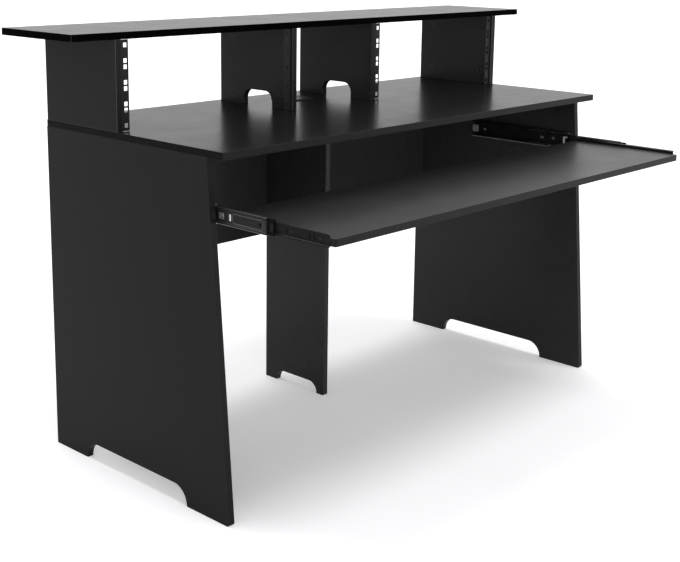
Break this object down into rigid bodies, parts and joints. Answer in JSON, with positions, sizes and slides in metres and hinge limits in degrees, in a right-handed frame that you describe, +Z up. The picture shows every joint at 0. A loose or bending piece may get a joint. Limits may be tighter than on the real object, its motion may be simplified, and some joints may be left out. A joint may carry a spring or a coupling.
{
  "type": "studio desk",
  "caption": "Black laminated studio desk with a raised shelf over rack bays, a pull-out keyboard tray on ball slides, a centre leg and a modesty panel.",
  "frame": {"origin": "on the floor, midway across the desk's width and midway between the side panels' rear edges and the front edge of the tray when it is pulled out", "axes": "+X to the right for someone who sits at the desk, +Y to the rear, +Z up"},
  "size_m": [1.514, 0.837, 0.955],
  "materials": {
    "laminate": "black melamine laminate, satin, with black edge band",
    "rail_steel": "black powder coat",
    "slide_steel": "black plated steel, lightly oiled",
    "cage_steel": "bright zinc plating",
    "bumper_rubber": "grey matt rubber",
    "cam_metal": "dark plated die casting",
    "grommet_plastic": "black satin plastic"
  },
  "bodies": {
    "desk": {"desktop": "laminate", "top_shelf": "laminate", "centre_leg": "laminate", "modesty_panel": "laminate", "side_panel_left": "laminate", "side_panel_right": "laminate", "upright_outer_left": "laminate", "upright_inner_left": "laminate", "upright_inner_right": "laminate", "upright_outer_right": "laminate", "rack_rail_outer_left": "rail_steel", "rack_rail_inner_left": "rail_steel", "rack_rail_inner_right": "rail_steel", "rack_rail_outer_right": "rail_steel", "slide_outer_left": "slide_steel", "slide_outer_right": "slide_steel", "slide_bumper_left": "bumper_rubber", "slide_bumper_right": "bumper_rubber", "cam_outer_left_bottom_rear": "cam_metal", "cam_outer_left_bottom_front": "cam_metal", "cam_outer_left_top_rear": "cam_metal", "cam_outer_left_top_front": "cam_metal", "cam_inner_left_bottom_rear": "cam_metal", "cam_inner_left_bottom_front": "cam_metal", "cam_inner_left_top_rear": "cam_metal", "cam_inner_left_top_front": "cam_metal", "cam_inner_right_bottom_rear": "cam_metal", "cam_inner_right_bottom_front": "cam_metal", "cam_inner_right_top_rear": "cam_metal", "cam_inner_right_top_front": "cam_metal", "cam_outer_right_bottom_rear": "cam_metal", "cam_outer_right_bottom_front": "cam_metal", "cam_outer_right_top_rear": "cam_metal", "cam_outer_right_top_front": "cam_metal", "cam_panel_left_rear": "cam_metal", "cam_panel_left_front": "cam_metal", "cam_panel_right_rear": "cam_metal", "cam_panel_right_front": "cam_metal", "cam_leg_rear": "cam_metal", "cam_leg_front": "cam_metal", "cam_modesty_left_upper": "cam_metal", "cam_modesty_left_lower": "cam_metal", "cam_modesty_right_upper": "cam_metal", "cam_modesty_right_lower": "cam_metal", "grommet_ring": "grommet_plastic", "grommet_cap": "grommet_plastic"},
    "tray": {"keyboard_tray": "laminate", "slide_inner_left": "slide_steel", "slide_inner_right": "slide_steel"},
    "middle_left": {"slide_middle_left": "slide_steel"},
    "middle_right": {"slide_middle_right": "slide_steel"},
    "outer_cage_left": {"outer_ball_cage_left": "cage_steel"},
    "outer_cage_right": {"outer_ball_cage_right": "cage_steel"},
    "inner_cage_left": {"inner_ball_cage_left": "cage_steel"},
    "inner_cage_right": {"inner_ball_cage_right": "cage_steel"}
  },
  "joints": [
    {"name": "tray_slide", "type": "slide", "parent": "desk", "child": "tray", "axis": [0, -1, 0], "range_m": [-0.305, 0]},
    {"name": "middle_slide_left", "type": "slide", "parent": "desk", "child": "middle_left", "axis": [0, -1, 0], "range_m": [-0.1525, 0]},
    {"name": "middle_slide_right", "type": "slide", "parent": "desk", "child": "middle_right", "axis": [0, -1, 0], "range_m": [-0.1525, 0]},
    {"name": "outer_cage_slide_left", "type": "slide", "parent": "desk", "child": "outer_cage_left", "axis": [0, -1, 0], "range_m": [-0.07625, 0]},
    {"name": "outer_cage_slide_right", "type": "slide", "parent": "desk", "child": "outer_cage_right", "axis": [0, -1, 0], "range_m": [-0.07625, 0]},
    {"name": "inner_cage_slide_left", "type": "slide", "parent": "desk", "child": "inner_cage_left", "axis": [0, -1, 0], "range_m": [-0.22875, 0]},
    {"name": "inner_cage_slide_right", "type": "slide", "parent": "desk", "child": "inner_cage_right", "axis": [0, -1, 0], "range_m": [-0.22875, 0]}
  ],
  "couplings": [
    {"joint": "middle_slide_left", "follows": "tray_slide", "ratio": 0.5},
    {"joint": "middle_slide_right", "follows": "tray_slide", "ratio": 0.5},
    {"joint": "outer_cage_slide_left", "follows": "tray_slide", "ratio": 0.25},
    {"joint": "outer_cage_slide_right", "follows": "tray_slide", "ratio": 0.25},
    {"joint": "inner_cage_slide_left", "follows": "tray_slide", "ratio": 0.75},
    {"joint": "inner_cage_slide_right", "follows": "tray_slide", "ratio": 0.75}
  ]
}
